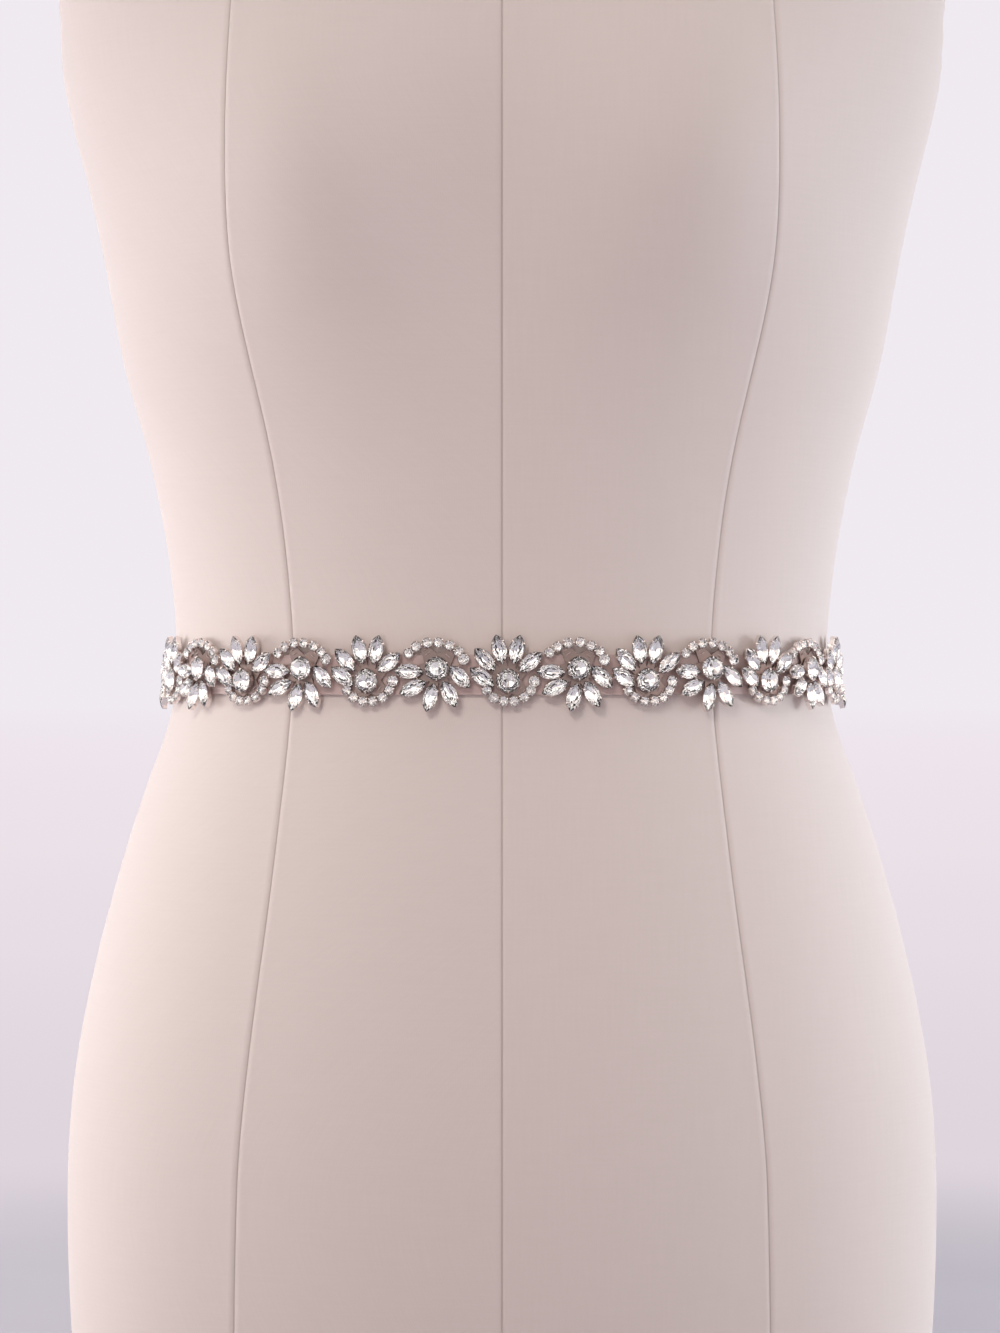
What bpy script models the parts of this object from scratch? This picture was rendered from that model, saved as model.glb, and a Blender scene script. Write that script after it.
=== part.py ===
"""A crystal-trimmed bridal sash, worn on a limbless dress form that stands on its flat underside.

+Z is up and -Y is the front. The origin is the middle of the form's underside.
Heights in the tables are measured from the middle of the sash, up positive, in millimetres.
"""

import math
from bisect import bisect_right
from collections import namedtuple

import bmesh
import bpy
from mathutils import Vector

MM = 0.001

# Driving sizes of the form
WAIST_HEIGHT = 300 * MM  # from the underside to the middle of the sash
SQUARENESS = 2.15  # exponent of the cross-sections: 2 is an ellipse
ARM_PLATE = 172 * MM  # the flat plates over the armholes lie this far from the middle
BUST_APART = 80 * MM  # from the middle to each fullest point
BUST_SPREAD = 54 * MM
SEAT_APART = 62 * MM
SEAT_SPREAD = 50 * MM
SEAT_HEIGHT = -195 * MM  # where the back is fullest
SIDE_FADE = 4  # the bust and the seat fade out this fast towards the sides
FORM_SIDES = 48
FORM_CREASE = math.radians(35)  # edges sharper than this stay sharp

# Driving sizes of the ribbon
CLEAR = 0.6 * MM  # between the ribbon and the form
RIBBON_WIDTH = 15 * MM
RIBBON_THICK = 1.0 * MM
GAP = 0.3 * MM  # between pieces that touch
RIBBON_SIDES = 72
RIBBON_STRIPS = 2
GATHER = 0.38  # share of its width that the ribbon loses at the knot
GATHER_REACH = 20 * MM
RIBBON_CREASE = math.radians(40)

# Driving sizes of the knot and the tails
KNOT_HALF_WIDTH = 12 * MM
KNOT_HALF_HEIGHT = 9.5 * MM
KNOT_DEPTH = 9 * MM
KNOT_RINGS = 4
KNOT_SIDES = 16
KNOT_OUTLINE = 0.8  # below 1 the outline is fuller than an ellipse
KNOT_PROFILE = 0.7  # and so is the profile
TAIL_ROWS = 18
TAIL_STRIPS = 3
TAIL_CROWDING = 1.25  # above 1 the rows are closer together near the knot
TAIL_SLANT = 7 * MM  # how far the cut end leans each way
TAIL_START = 5.2 * MM  # from the middle to a tail at the knot
TAIL_SPLAY = 0.15  # how far a tail moves out for each step down
TAIL_LIFT = 0.9 * MM  # off the form
SWAY_TURNS = 0.7  # waves along a tail
PINCH = 0.45  # share of its width that a tail loses at the knot
PINCH_REACH = 16 * MM
PINCH_LIFT = 2.4 * MM
PLEAT_DEPTH = 0.8 * MM
PLEATS = 1.5  # waves across a tail at the knot

# Driving sizes of the crystal trim: half sizes include the metal setting
MOTIFS = 17
MOTIF_PITCH = 26.2 * MM
TRIM_SHIFT = 2 * MM  # the middle motif sits this far towards +X
UP_CENTRE = -2.3 * MM  # height of the round stone where the fan points up
DOWN_CENTRE = 2.2 * MM  # and where it points down
NAVETTE_HALF_LENGTH = 5.7 * MM
NAVETTE_HALF_WIDTH = 2.95 * MM
NAVETTE_HEIGHT = 3.4 * MM
NAVETTE_FULLNESS = 2.5  # exponent of the outline: 2 is a parabola, more is fuller
NAVETTE_CORNERS = (-0.6, 0.0, 0.6)  # shares of the half length where the outline has points
ROUND_RADIUS = 4.6 * MM
ROUND_HEIGHT = 4.0 * MM
ROUND_SIDES = 10
SMALL_HALF_WIDTH = 2.0 * MM
SMALL_HEIGHT = 2.5 * MM
BACKING_THICK = 0.8 * MM
HUB_RADIUS = 5.2 * MM
ARM_HALF_WIDTH = 1.2 * MM
ARC_ARMS = (0.25, 0.75)  # shares of the arc's length where the backing's arms meet it
GIRDLE = 0.55  # share of a stone's height where it is widest
TABLE = 0.62  # the flat top's share of the outline
FOOT = 0.9  # the seat's share of the outline

Section = namedtuple("Section", "height half_width front back bust seat")
FORM_SECTIONS = [
    Section(*(value * MM for value in row))
    for row in (
        (-300, 163, 104, 110, 0, 0),
        (-292, 166, 107, 113, 0, 0),
        (-250, 170, 112, 124, 0, 3),
        (-195, 171, 115, 128, 0, 7),
        (-155, 168, 115, 124, 0, 5),
        (-115, 160.5, 113, 115, 0, 2),
        (-75, 150, 109, 105, 0, 0),
        (-45, 140.5, 104.5, 98, 0, 0),
        (-16, 130.5, 100, 93, 0, 0),
        (10, 128.3, 98.5, 91.5, 0, 0),
        (43, 131, 99, 93, 0, 0),
        (83, 138.5, 102, 98, 1, 0),
        (122, 149, 106, 104, 6, 0),
        (162, 156.5, 109, 110, 17, 0),
        (190, 162.5, 110, 113, 21, 0),
        (220, 170, 109, 115, 17, 0),
        (255, 177, 103, 115, 9, 0),
        (290, 183, 93, 113, 3, 0),
        (322, 186, 79, 108, 0, 0),
        (347, 182, 68, 100, 0, 0),
        (365, 166, 60, 91, 0, 0),
        (380, 139, 54, 82, 0, 0),
        (394, 103, 50, 73, 0, 0),
        (408, 74, 48, 65, 0, 0),
        (424, 60, 48, 60, 0, 0),
        (446, 55, 50, 57, 0, 0),
        (462, 53.5, 51, 56, 0, 0),
        (468, 50, 48, 53, 0, 0),
    )
]

# The form's rings are closer together beside the sash and over the shoulders.
RowSpan = namedtuple("RowSpan", "start spacing")
ROW_SPANS = [
    RowSpan(-292 * MM, 30 * MM),
    RowSpan(-24 * MM, 8 * MM),
    RowSpan(24 * MM, 30 * MM),
    RowSpan(336 * MM, 12 * MM),
    RowSpan(462 * MM, 6 * MM),
]

# Places are from the motif's round stone, in millimetres; lean is in degrees from +X, anticlockwise.
Stone = namedtuple("Stone", "across up lean")
UP_PETALS = [
    Stone(-9.6, 1.4, 143),
    Stone(-8.4, 8.0, 132),
    Stone(-3.0, 11.8, 103),
    Stone(3.3, 11.7, 77),
    Stone(8.5, 6.9, 39),
]
DOWN_PETALS = [
    Stone(-10.5, -1.1, 179),
    Stone(-8.8, -7.4, 206),
    Stone(-2.0, -11.0, 255),
    Stone(4.9, -9.9, 297),
    Stone(8.8, -3.2, 313),
]
# The row of small stones is an arc of an ellipse round the same stone.
Arc = namedtuple("Arc", "across up radius_across radius_up start end")
UP_ARC = Arc(0.4, 0.4, 9.4, 8.4, 210, 355)
DOWN_ARC = Arc(-1.1, 1.4, 11.3, 8.5, 148, 14)
ARC_STATIONS = 8

Tail = namedtuple("Tail", "name side length sway")
TAILS = [
    Tail("tail_left", -1, 252 * MM, 5 * MM),
    Tail("tail_right", 1, 232 * MM, 7 * MM),
]


def clear_scene():
    for obj in list(bpy.data.objects):
        bpy.data.objects.remove(obj, do_unlink=True)


def make_material(name, colour, roughness, metallic=0.0):
    material = bpy.data.materials.new(name)
    material.use_nodes = True
    shader = material.node_tree.nodes["Principled BSDF"]
    shader.inputs["Base Color"].default_value = (*colour, 1.0)
    shader.inputs["Roughness"].default_value = roughness
    shader.inputs["Metallic"].default_value = metallic
    return material


def add_object(name, points, faces, material=None, origin=Vector((0, 0, 0)), parent=None):
    """An object whose mesh is given in the row's frame, with its own origin at origin."""
    mesh = bpy.data.meshes.new(name)
    mesh.from_pydata([point - origin for point in points], [], faces)
    mesh.validate()
    shape = bmesh.new()
    shape.from_mesh(mesh)
    bmesh.ops.recalc_face_normals(shape, faces=shape.faces)
    shape.to_mesh(mesh)
    shape.free()
    obj = bpy.data.objects.new(name, mesh)
    bpy.context.scene.collection.objects.link(obj)
    obj.location = origin
    if material:
        mesh.materials.append(material)
    if parent:
        obj.parent = parent
    return obj


def bell(distance, spread):
    return math.exp(-((distance / spread) ** 2))


def section_at(height):
    """The form's cross-section at a height, on a smooth curve through the table's rows."""
    heights = [row.height for row in FORM_SECTIONS]
    low = min(max(bisect_right(heights, height) - 1, 0), len(heights) - 2)
    before, start = FORM_SECTIONS[max(low - 1, 0)], FORM_SECTIONS[low]
    end, after = FORM_SECTIONS[low + 1], FORM_SECTIONS[min(low + 2, len(heights) - 1)]
    span = end.height - start.height
    t = (height - start.height) / span
    values = []
    for column in range(len(Section._fields)):
        slope_in = (end[column] - before[column]) / (end.height - before.height) * span
        slope_out = (after[column] - start[column]) / (after.height - start.height) * span
        values.append(
            (2 * t**3 - 3 * t**2 + 1) * start[column]
            + (t**3 - 2 * t**2 + t) * slope_in
            + (3 * t**2 - 2 * t**3) * end[column]
            + (t**3 - t**2) * slope_out
        )
    return Section(*values)


def form_point(angle, height):
    """A point of the form's surface. Angle 0 is the centre front and it grows towards +X."""
    section = section_at(height)
    side, forward = math.sin(angle), math.cos(angle)
    depth = section.front if forward > 0 else section.back
    reach = abs(side / section.half_width) ** SQUARENESS + abs(forward / depth) ** SQUARENESS
    reach **= -1 / SQUARENESS
    x, y = reach * side, -reach * forward
    fade = min(1.0, SIDE_FADE * abs(forward))
    if forward > 0:
        y -= section.bust * fade * bell(abs(x) - BUST_APART, BUST_SPREAD)
    else:
        y += section.seat * fade * bell(abs(x) - SEAT_APART, SEAT_SPREAD)
    x = min(max(x, -ARM_PLATE), ARM_PLATE)
    return Vector((x, y, WAIST_HEIGHT + height))


def surface_axes(angle, height):
    """Unit vectors along the waist, up the form and out of its surface."""
    turn, rise = math.radians(0.5), 1 * MM
    along = form_point(angle + turn, height) - form_point(angle - turn, height)
    up = form_point(angle, height + rise) - form_point(angle, height - rise)
    along.normalize()
    out = along.cross(up).normalized()
    return along, out.cross(along), out


def off_form(angle, height, out):
    """A point this far off the form's surface."""
    return form_point(angle, height) + surface_axes(angle, height)[2] * out


def waist_lengths():
    """(length, angle) pairs along the ribbon's outer face at mid height, from the centre front."""
    step = math.radians(0.5)
    pairs = [(0.0, 0.0)]
    last = off_form(0.0, 0.0, CLEAR + RIBBON_THICK)
    while pairs[-1][1] < math.pi:
        angle = pairs[-1][1] + step
        point = off_form(angle, 0.0, CLEAR + RIBBON_THICK)
        pairs.append((pairs[-1][0] + (point - last).length, angle))
        last = point
    return pairs


WAIST = waist_lengths()
HALF_WAIST = WAIST[-1][0]


def angle_at(length):
    """The angle that lies this far along the waist from the centre front."""
    index = min(bisect_right(WAIST, (abs(length), 0.0)), len(WAIST) - 1)
    (short, low), (long, high) = WAIST[index - 1], WAIST[index]
    return math.copysign(low + (high - low) * (abs(length) - short) / (long - short), length)


def on_ribbon(length, height, out):
    """A point over the ribbon, this far out of its outer face."""
    return off_form(angle_at(length), height, CLEAR + RIBBON_THICK + out)


def grid_faces(rows, columns, start=0, closed=False):
    """Quads between rows of points; closed joins the last column to the first."""
    faces = []
    for row in range(rows - 1):
        for column in range(columns if closed else columns - 1):
            here = start + row * columns
            after = (column + 1) % columns
            faces.append((here + column, here + after, here + columns + after, here + columns + column))
    return faces


def sheet_wall(rows, columns, point):
    """Points and faces of an open strip of cloth with a thickness: point(row, column, layer)."""
    points = [point(r, c, layer) for layer in (0, 1) for r in range(rows) for c in range(columns)]
    layer_size = rows * columns
    faces = grid_faces(rows, columns) + grid_faces(rows, columns, layer_size)
    rim = [r * columns for r in range(rows)]
    rim += [(rows - 1) * columns + c for c in range(1, columns)]
    rim += [r * columns + columns - 1 for r in range(rows - 2, -1, -1)]
    rim += list(range(columns - 2, 0, -1))
    for first, second in zip(rim, rim[1:] + rim[:1]):
        faces.append((first, second, second + layer_size, first + layer_size))
    return points, faces


# The dress form


def form_heights():
    """Heights of the form's rings, from its underside to the top of its neck."""
    bottom, top = FORM_SECTIONS[0].height, FORM_SECTIONS[-1].height
    heights = [bottom]
    ends = [span.start for span in ROW_SPANS[1:]] + [top]
    for span, end in zip(ROW_SPANS, ends):
        rows = round((end - span.start) / span.spacing)
        heights += [span.start + (end - span.start) * row / rows for row in range(rows)]
    return heights + [top]


def build_dress_form(parent):
    heights = form_heights()
    turns = [2 * math.pi * side / FORM_SIDES for side in range(FORM_SIDES)]
    points = [form_point(turn, height) for height in heights for turn in turns]
    faces = grid_faces(len(heights), FORM_SIDES, closed=True)
    last = (len(heights) - 1) * FORM_SIDES
    faces.append(tuple(range(FORM_SIDES)))
    faces.append(tuple(range(last, last + FORM_SIDES)))
    linen = make_material("form_linen", (0.68, 0.57, 0.52), 0.85)
    form = add_object("dress_form", points, faces, linen, parent=parent)
    form.data.shade_smooth()
    form.data.set_sharp_from_angle(angle=FORM_CREASE)
    return form


# The ribbon, its knot and its tails


def ribbon_half_width(length):
    """The ribbon is drawn together where it enters the knot."""
    return RIBBON_WIDTH / 2 * (1 - GATHER * bell(HALF_WAIST - abs(length), GATHER_REACH))


def build_ribbon_band(material, parent):
    columns = RIBBON_SIDES
    rows = RIBBON_STRIPS + 1
    points = []
    for layer in (0, 1):
        for row in range(rows):
            for column in range(columns):
                length = HALF_WAIST * (2 * column / columns - 1)
                height = ribbon_half_width(length) * (2 * row / RIBBON_STRIPS - 1)
                points.append(on_ribbon(length, height, (layer - 1) * RIBBON_THICK))
    size = rows * columns
    faces = grid_faces(rows, columns, closed=True) + grid_faces(rows, columns, size, closed=True)
    for row in (0, rows - 1):
        for column in range(columns):
            here, after = row * columns + column, row * columns + (column + 1) % columns
            faces.append((here, after, after + size, here + size))
    band = add_object("ribbon_band", points, faces, material, parent=parent)
    band.data.shade_smooth()
    band.data.set_sharp_from_angle(angle=RIBBON_CREASE)
    return band


def build_knot(material, parent):
    """A flattened lump with a flat back, over the ribbon at the centre back."""
    rings, sides = KNOT_RINGS, KNOT_SIDES
    along, up, out = surface_axes(math.pi, 0.0)
    seat = off_form(math.pi, 0.0, CLEAR + RIBBON_THICK + GAP)
    points = []
    for ring in range(rings):
        rise = math.pi / 2 * ring / rings
        for side in range(sides):
            turn = 2 * math.pi * side / sides
            wide = math.copysign(abs(math.cos(turn)) ** KNOT_OUTLINE, math.cos(turn))
            tall = math.copysign(abs(math.sin(turn)) ** KNOT_OUTLINE, math.sin(turn))
            flat = along * (wide * KNOT_HALF_WIDTH) + up * (tall * KNOT_HALF_HEIGHT)
            flat *= math.cos(rise) ** KNOT_PROFILE
            points.append(seat + flat + out * (KNOT_DEPTH * math.sin(rise)))
    faces = grid_faces(rings, sides, closed=True)
    faces.append(tuple(range(sides)))
    top = len(points)
    points.append(seat + out * KNOT_DEPTH)
    first = (rings - 1) * sides
    faces += [(first + s, first + (s + 1) % sides, top) for s in range(sides)]
    knot = add_object("knot", points, faces, material, origin=seat, parent=parent)
    knot.data.shade_smooth()
    return knot


def back_depth(x, height):
    """How far back the form's surface lies; below the seat's fullest point cloth hangs straight."""
    section = section_at(max(height, SEAT_HEIGHT))
    round_share = 1 - abs(x / section.half_width) ** SQUARENESS
    lobes = section.seat * bell(abs(x) - SEAT_APART, SEAT_SPREAD)
    return section.back * round_share ** (1 / SQUARENESS) + lobes


def build_tail(tail, material, parent):
    """A free ribbon end that falls from under the knot and lies on the form's back."""
    top = -KNOT_HALF_HEIGHT - GAP
    columns, rows = TAIL_STRIPS + 1, TAIL_ROWS + 1

    def tail_point(row, column, layer):
        across = 2 * column / TAIL_STRIPS - 1
        share = (row / TAIL_ROWS) ** TAIL_CROWDING
        drop = share * (tail.length + TAIL_SLANT * across * tail.side)
        pinch = math.exp(-drop / PINCH_REACH)
        half = RIBBON_WIDTH / 2 * (1 - PINCH * pinch)
        sway = tail.sway * math.sin(2 * math.pi * SWAY_TURNS * drop / tail.length)
        middle = tail.side * (TAIL_START + TAIL_SPLAY * drop) + sway * (1 - pinch)
        x = middle + half * across
        pleat = PLEAT_DEPTH * math.cos(2 * math.pi * PLEATS * across)
        lift = TAIL_LIFT + pinch * (PINCH_LIFT + pleat)
        depth = back_depth(x, top - drop) + lift + layer * RIBBON_THICK
        return Vector((x, depth, WAIST_HEIGHT + top - drop))

    points, faces = sheet_wall(rows, columns, tail_point)
    ribbon = add_object(tail.name, points, faces, material, parent=parent)
    ribbon.data.shade_smooth()
    ribbon.data.set_sharp_from_angle(angle=RIBBON_CREASE)
    return ribbon


# The crystal trim


def prism_faces(levels, sides, start):
    """Side faces and both end faces of a stack of rings."""
    faces = grid_faces(levels, sides, start, closed=True)
    last = start + (levels - 1) * sides
    faces.append(tuple(range(start, start + sides)))
    faces.append(tuple(range(last, last + sides)))
    return faces


def navette_outline():
    """Points of a pointed oval, whose long axis lies along the first coordinate."""
    top = [(share, 1 - abs(share) ** NAVETTE_FULLNESS) for share in NAVETTE_CORNERS]
    bottom = [(-u, -v) for u, v in top]
    return [
        Vector((u * NAVETTE_HALF_LENGTH, v * NAVETTE_HALF_WIDTH))
        for u, v in [(-1, 0), *top, (1, 0), *bottom]
    ]


def round_outline():
    turns = [2 * math.pi * side / ROUND_SIDES for side in range(ROUND_SIDES)]
    return [Vector((math.cos(t), math.sin(t))) * ROUND_RADIUS for t in turns]


def add_stone(points, faces, outline, length, height, lean, tall):
    """A set stone, flat on its seat: straight up to its girdle, then in to its table."""
    seat = BACKING_THICK / 2
    along, up, out = surface_axes(angle_at(length), height)
    middle = on_ribbon(length, height, GAP + seat)
    lengthwise = along * math.cos(lean) + up * math.sin(lean)
    crosswise = up * math.cos(lean) - along * math.sin(lean)
    start = len(points)
    for rise, scale in ((0.0, FOOT), (GIRDLE, 1.0), (1.0, TABLE)):
        for u, v in outline:
            flat = (lengthwise * u + crosswise * v) * scale
            points.append(middle + flat + out * (rise * (tall - seat)))
    faces += prism_faces(3, len(outline), start)


def arc_spot(arc, share, side=0.0):
    """A place on the row of small stones; side -1 and 1 are its inner and outer edges."""
    turn = math.radians(arc.start + (arc.end - arc.start) * share)
    ray = Vector((math.cos(turn), math.sin(turn)))
    middle = Vector((arc.across + arc.radius_across * ray.x, arc.up + arc.radius_up * ray.y)) * MM
    return middle + ray * (side * SMALL_HALF_WIDTH)


def add_small_stones(points, faces, arc, length, height):
    """The row of small stones, as one bar along its arc."""
    start = len(points)
    low, high = GAP + BACKING_THICK / 2, GAP + SMALL_HEIGHT
    for station in range(ARC_STATIONS):
        for side, out in ((-1, low), (1, low), (TABLE, high), (-TABLE, high)):
            spot = arc_spot(arc, station / (ARC_STATIONS - 1), side)
            points.append(on_ribbon(length + spot.x, height + spot.y, out))
    faces += prism_faces(ARC_STATIONS, 4, start)


def backing_outline(petals, arc):
    """A star: a hub under the round stone, and an arm out to each navette and to the arc."""
    tips = [Vector((petal.across, petal.up)) * MM for petal in petals]
    tips += [arc_spot(arc, share) for share in ARC_ARMS]
    tips.sort(key=lambda tip: math.atan2(tip.y, tip.x))
    outline = []
    for tip, after in zip(tips, tips[1:] + tips[:1]):
        side = Vector((-tip.y, tip.x)).normalized() * ARM_HALF_WIDTH
        valley = (tip.normalized() + after.normalized()).normalized() * HUB_RADIUS
        outline += [tip - side, tip + side, valley]
    return outline


def add_backing(points, faces, outline, length, height):
    """The open backing that one motif's stones are fixed to. It bends with the waist."""
    start, sides = len(points), len(outline)
    for out in (GAP, GAP + BACKING_THICK):
        points += [on_ribbon(length + spot.x, height + spot.y, out) for spot in outline]
    faces += grid_faces(2, sides, start, closed=True)
    for layer, out in enumerate((GAP, GAP + BACKING_THICK)):
        first = start + layer * sides
        faces += [(first + side, first + (side + 1) % sides, len(points)) for side in range(sides)]
        points.append(on_ribbon(length, height, out))


def build_motif(number, material, parent):
    """One fan of navettes round a round stone, fused to its backing by a Boolean union."""
    step = number - MOTIFS // 2
    points_up = step % 2 == 0
    petals, arc = (UP_PETALS, UP_ARC) if points_up else (DOWN_PETALS, DOWN_ARC)
    length = TRIM_SHIFT + step * MOTIF_PITCH
    height = UP_CENTRE if points_up else DOWN_CENTRE
    origin = on_ribbon(length, height, GAP)
    name = f"motif_{number + 1:02d}"

    points, faces = [], []
    add_backing(points, faces, backing_outline(petals, arc), length, height)
    motif = add_object(name, points, faces, material, origin=origin, parent=parent)

    points, faces = [], []
    add_stone(points, faces, round_outline(), length, height, 0.0, ROUND_HEIGHT)
    for petal in petals:
        place = (length + petal.across * MM, height + petal.up * MM, math.radians(petal.lean))
        add_stone(points, faces, navette_outline(), *place, NAVETTE_HEIGHT)
    add_small_stones(points, faces, arc, length, height)
    stones = add_object(f"{name}_stones", points, faces, material, origin=origin, parent=parent)
    stones.hide_render = True
    stones.display_type = "WIRE"

    union = motif.modifiers.new("fuse_stones", "BOOLEAN")
    union.operation = "UNION"
    union.object = stones
    return motif


def main():
    clear_scene()
    sash = bpy.data.objects.new("bridal_sash", None)
    bpy.context.scene.collection.objects.link(sash)
    satin = make_material("ribbon_satin", (0.72, 0.60, 0.54), 0.4)
    crystal = make_material("crystal_in_silver", (0.86, 0.86, 0.88), 0.12, 0.6)
    build_dress_form(sash)
    build_ribbon_band(satin, sash)
    build_knot(satin, sash)
    for tail in TAILS:
        build_tail(tail, satin, sash)
    for number in range(MOTIFS):
        build_motif(number, crystal, sash)


main()
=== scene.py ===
"""The looks of a crystal-trimmed bridal sash and the linen dress form that wears it.

+Z is up and -Y is the front. Heights are measured from the middle of the sash, up positive.
"""

import math
import random
from bisect import bisect_right
from collections import namedtuple
from functools import lru_cache

import bpy
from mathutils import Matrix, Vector


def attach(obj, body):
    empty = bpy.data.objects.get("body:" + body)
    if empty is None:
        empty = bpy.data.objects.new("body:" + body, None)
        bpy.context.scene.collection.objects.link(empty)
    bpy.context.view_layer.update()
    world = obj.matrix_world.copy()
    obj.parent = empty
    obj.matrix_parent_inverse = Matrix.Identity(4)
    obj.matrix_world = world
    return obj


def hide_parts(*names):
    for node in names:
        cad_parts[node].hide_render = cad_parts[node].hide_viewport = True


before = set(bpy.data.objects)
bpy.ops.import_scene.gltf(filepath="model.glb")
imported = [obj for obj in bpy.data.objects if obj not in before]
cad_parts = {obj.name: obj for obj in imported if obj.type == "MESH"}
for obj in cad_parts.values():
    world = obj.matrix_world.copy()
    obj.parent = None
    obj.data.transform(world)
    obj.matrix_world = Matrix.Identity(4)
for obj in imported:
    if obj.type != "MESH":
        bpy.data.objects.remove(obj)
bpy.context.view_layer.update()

MM = 0.001

# The form's sizes, as the solids have them
WAIST_HEIGHT = 300 * MM
SQUARENESS = 2.15
ARM_PLATE = 172 * MM
BUST_APART = 80 * MM
BUST_SPREAD = 54 * MM
SEAT_APART = 62 * MM
SEAT_SPREAD = 50 * MM
SEAT_HEIGHT = -195 * MM
SIDE_FADE = 4  # the bust and the seat fade out this fast towards the sides
PROBE_TURN = math.radians(0.5)  # steps that measure the surface's slope and the waist's length
PROBE_RISE = 1 * MM

Section = namedtuple("Section", "height half_width front back bust seat")
FORM_SECTIONS = [
    Section(*(value * MM for value in row))
    for row in (
        (-300, 163, 104, 110, 0, 0),
        (-292, 166, 107, 113, 0, 0),
        (-250, 170, 112, 124, 0, 3),
        (-195, 171, 115, 128, 0, 7),
        (-155, 168, 115, 124, 0, 5),
        (-115, 160.5, 113, 115, 0, 2),
        (-75, 150, 109, 105, 0, 0),
        (-45, 140.5, 104.5, 98, 0, 0),
        (-16, 130.5, 100, 93, 0, 0),
        (10, 128.3, 98.5, 91.5, 0, 0),
        (43, 131, 99, 93, 0, 0),
        (83, 138.5, 102, 98, 1, 0),
        (122, 149, 106, 104, 6, 0),
        (162, 156.5, 109, 110, 17, 0),
        (190, 162.5, 110, 113, 21, 0),
        (220, 170, 109, 115, 17, 0),
        (255, 177, 103, 115, 9, 0),
        (290, 183, 93, 113, 3, 0),
        (322, 186, 79, 108, 0, 0),
        (347, 182, 68, 100, 0, 0),
        (365, 166, 60, 91, 0, 0),
        (380, 139, 54, 82, 0, 0),
        (394, 103, 50, 73, 0, 0),
        (408, 74, 48, 65, 0, 0),
        (424, 60, 48, 60, 0, 0),
        (446, 55, 50, 57, 0, 0),
        (462, 53.5, 51, 56, 0, 0),
        (468, 50, 48, 53, 0, 0),
    )
]

# The form's cover: how far from the middle each princess seam runs
SeamSpot = namedtuple("SeamSpot", "height front back")
PRINCESS_SEAM = [
    SeamSpot(*(value * MM for value in row))
    for row in (
        (-300, 101, 96),
        (-190, 99, 94),
        (-145, 95, 90),
        (-70, 85.5, 82),
        (0, 79, 76),
        (40, 81, 78),
        (80, 86.5, 84),
        (150, 101, 94),
        (200, 103, 98),
        (260, 101, 98),
        (320, 97, 97),
        (365, 96, 96),
        (385, 98, 98),
        (391, 99, 99),
        (397, 86, 86),
        (408, 62, 62),
        (430, 40, 40),
        (468, 34, 34),
    )
]
PRINCESS_END = 391 * MM  # the princess seams run up to the shoulder seam
ARM_PLATE_REACH = (228 * MM, 348 * MM)  # the side seam stops at the arm plate's lower edge
CAP_RINGS = (0.97, 0.75, 0.45, 0.15)  # shares of the neck's outline
SeamStep = namedtuple("SeamStep", "offset rise")
SEAM_STEPS = [
    SeamStep(0.45 * MM, -0.12 * MM),
    SeamStep(1.2 * MM, 0.20 * MM),
    SeamStep(2.6 * MM, 0.08 * MM),
    SeamStep(6.0 * MM, 0.0),
]
SEAM_DEPTH = 0.4 * MM
SEAM_PROBE = math.radians(0.2)  # the step that measures the surface beside a seam
SEAM_HALVINGS = 26  # in the search for a seam's angle
PANEL_COLUMNS = 18
COVER_ROW = 3.6 * MM
COVER_CREASE = math.radians(50)  # edges sharper than this stay sharp

# The ribbon
CLEAR = 0.6 * MM  # between the ribbon and the form
RIBBON_WIDTH = 15 * MM
RIBBON_THICK = 1.0 * MM  # the solid's wall; the satin itself is thinner
SATIN_THICK = 0.4 * MM
GAP = 0.3 * MM
GATHER = 0.38
GATHER_REACH = 20 * MM
SELVEDGE = 0.7 * MM  # the firmer woven edge
PLEAT_DEPTH = 0.5 * MM
PLEAT_REACH = 30 * MM
BAND_PLEATS = 1.25  # waves across the band
BAND_COLUMNS = 360
BAND_ROWS = 12
RIBBON_CREASE = math.radians(60)

KNOT_HALF_WIDTH = 12 * MM
KNOT_HALF_HEIGHT = 9.5 * MM
KNOT_DEPTH = 9 * MM
MOUTH_HALF_HEIGHT = 5.0 * MM  # where the band goes in, at the knot's sides
MOUTH_DEPTH = 1.4 * MM
KNOT_DRAW_IN = (3.2, 0.6)  # the larger the first, the longer the knot stays full
KNOT_CLOSED = 0.985  # share of a whole turn that the cloth goes round
KNOT_CORNER = 0.85  # below 1 the knot is squarer than an ellipse
KNOT_FOLD = 1.1 * MM
KNOT_FOLDS = 4
FOLD_WIDTH = 0.45  # below 1 the folds are round and the creases between them narrow
FOLD_SLANT = 0.16
FOLD_BEHIND = 0.1  # share of the folds' depth that the knot keeps on the side of the form
KNOT_TURNS = 72
KNOT_COLUMNS = 96

Tail = namedtuple("Tail", "name side length sway")
TAILS = [
    Tail("tail_left", -1, 252 * MM, 5 * MM),
    Tail("tail_right", 1, 232 * MM, 7 * MM),
]
TAIL_SLANT = 7 * MM  # how far the cut end leans each way
TAIL_CROWDING = 1.25  # above 1 the rows are closer together near the knot
TAIL_TUCK = 2.8 * MM  # hidden in the knot
TAIL_START = 5.2 * MM  # from the middle to a tail at the knot
TAIL_SPLAY = 0.15  # how far a tail moves out for each step down
TAIL_LIFT = 1.4 * MM  # off the form
SWAY_TURNS = 1.4
PINCH = 0.45  # share of its width that a tail loses at the knot
PINCH_REACH = 16 * MM
PINCH_LIFT = 2.4 * MM
TAIL_PLEAT = 0.8 * MM
TAIL_PLEATS = 1.5  # waves across a tail at the knot
TAIL_CURL = 0.5 * MM
CURL_REACH = 38 * MM
TAIL_ROWS = 92
TAIL_COLUMNS = 30

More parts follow.
